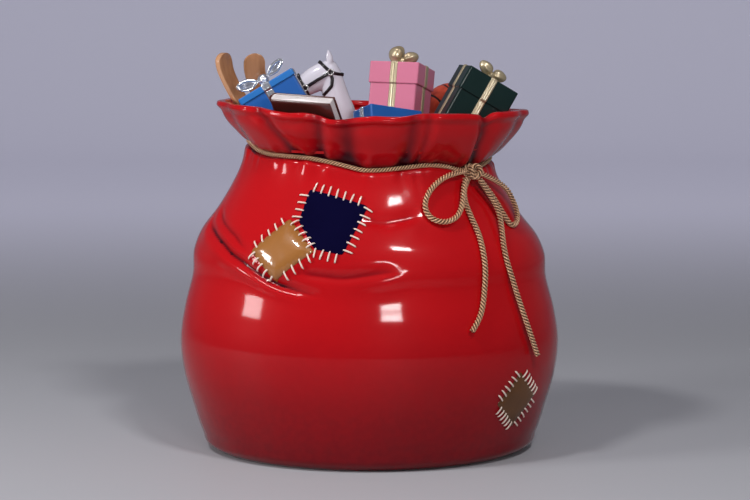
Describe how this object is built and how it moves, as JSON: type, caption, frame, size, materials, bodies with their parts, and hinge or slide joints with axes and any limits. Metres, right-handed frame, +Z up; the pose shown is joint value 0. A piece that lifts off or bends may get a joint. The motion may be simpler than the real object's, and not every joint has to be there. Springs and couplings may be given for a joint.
{
  "type": "gift sack",
  "caption": "Display prop of a rope-tied, patched gift sack with a flared collar, filled with wrapped boxes, a book, a ball, a toy horse and toy skis.",
  "frame": {"origin": "centre of the sack's foot, on the floor", "axes": "+Z up, -Y towards the sack's face with the two upper patches and the rope bow, +X to the viewer's right"},
  "size_m": [0.876, 0.7008, 0.9229],
  "materials": {
    "red_gloss": "high gloss",
    "navy_gloss": "high gloss",
    "tan_gloss": "high gloss",
    "brown_gloss": "gloss",
    "cream_gloss": "gloss",
    "gold_rope": "satin",
    "pink_paint": "gloss",
    "green_paint": "gloss",
    "blue_paint": "gloss",
    "dark_blue_paint": "gloss",
    "gold_paint": "gloss metallic",
    "silver_paint": "gloss metallic",
    "book_brown": "gloss",
    "page_cream": "satin",
    "ball_orange": "satin",
    "ball_seam_black": "satin",
    "horse_white": "gloss",
    "bridle_black": "gloss",
    "ring_metal": "polished",
    "ski_wood": "gloss"
  },
  "bodies": {
    "sack": {"sack_body": "red_gloss", "sack_ruff": "red_gloss", "base_plate": "red_gloss", "gift_shelf": "red_gloss", "navy_patch": "navy_gloss", "navy_stitches": "cream_gloss", "tan_patch": "tan_gloss", "tan_stitches": "cream_gloss", "lower_patch": "brown_gloss", "lower_stitches": "cream_gloss", "neck_rope": "gold_rope", "rope_knot": "gold_rope", "left_bow_loop": "gold_rope", "right_bow_loop": "gold_rope", "left_rope_tail": "gold_rope", "right_rope_tail": "gold_rope"},
    "pink_gift": {"pink_box": "pink_paint", "pink_lid": "pink_paint", "pink_ribbon": "gold_paint", "pink_bow": "gold_paint"},
    "green_gift": {"green_box": "green_paint", "green_lid": "green_paint", "green_ribbon": "gold_paint", "green_bow": "gold_paint"},
    "blue_gift": {"blue_box": "blue_paint", "blue_lid": "blue_paint", "blue_ribbon": "silver_paint", "blue_bow": "silver_paint"},
    "flat_gift": {"flat_box": "dark_blue_paint", "flat_lid": "dark_blue_paint", "flat_ribbon": "silver_paint"},
    "book": {"book_cover": "book_brown", "book_pages": "page_cream"},
    "ball": {"ball": "ball_orange", "ball_seams": "ball_seam_black"},
    "horse": {"horse_head": "horse_white", "horse_bridle": "bridle_black", "horse_rings": "ring_metal"},
    "left_ski": {"left_ski": "ski_wood"},
    "right_ski": {"right_ski": "ski_wood"}
  },
  "joints": [
    {"name": "pink_gift_lift", "type": "slide", "parent": "sack", "child": "pink_gift", "axis": [0, 0, 1], "range_m": [0, 0.25]},
    {"name": "green_gift_lift", "type": "slide", "parent": "sack", "child": "green_gift", "axis": [0, 0, 1], "range_m": [0, 0.25]},
    {"name": "blue_gift_lift", "type": "slide", "parent": "sack", "child": "blue_gift", "axis": [0, 0, 1], "range_m": [0, 0.25]},
    {"name": "flat_gift_lift", "type": "slide", "parent": "sack", "child": "flat_gift", "axis": [0, 0, 1], "range_m": [0, 0.2]},
    {"name": "book_lift", "type": "slide", "parent": "sack", "child": "book", "axis": [0, 0, 1], "range_m": [0, 0.2]},
    {"name": "ball_lift", "type": "slide", "parent": "sack", "child": "ball", "axis": [0, 0, 1], "range_m": [0, 0.2]},
    {"name": "horse_lift", "type": "slide", "parent": "sack", "child": "horse", "axis": [0, 0, 1], "range_m": [0, 0.25]},
    {"name": "left_ski_lift", "type": "slide", "parent": "sack", "child": "left_ski", "axis": [0, 0, 1], "range_m": [0, 0.25]},
    {"name": "right_ski_lift", "type": "slide", "parent": "sack", "child": "right_ski", "axis": [0, 0, 1], "range_m": [0, 0.25]}
  ]
}
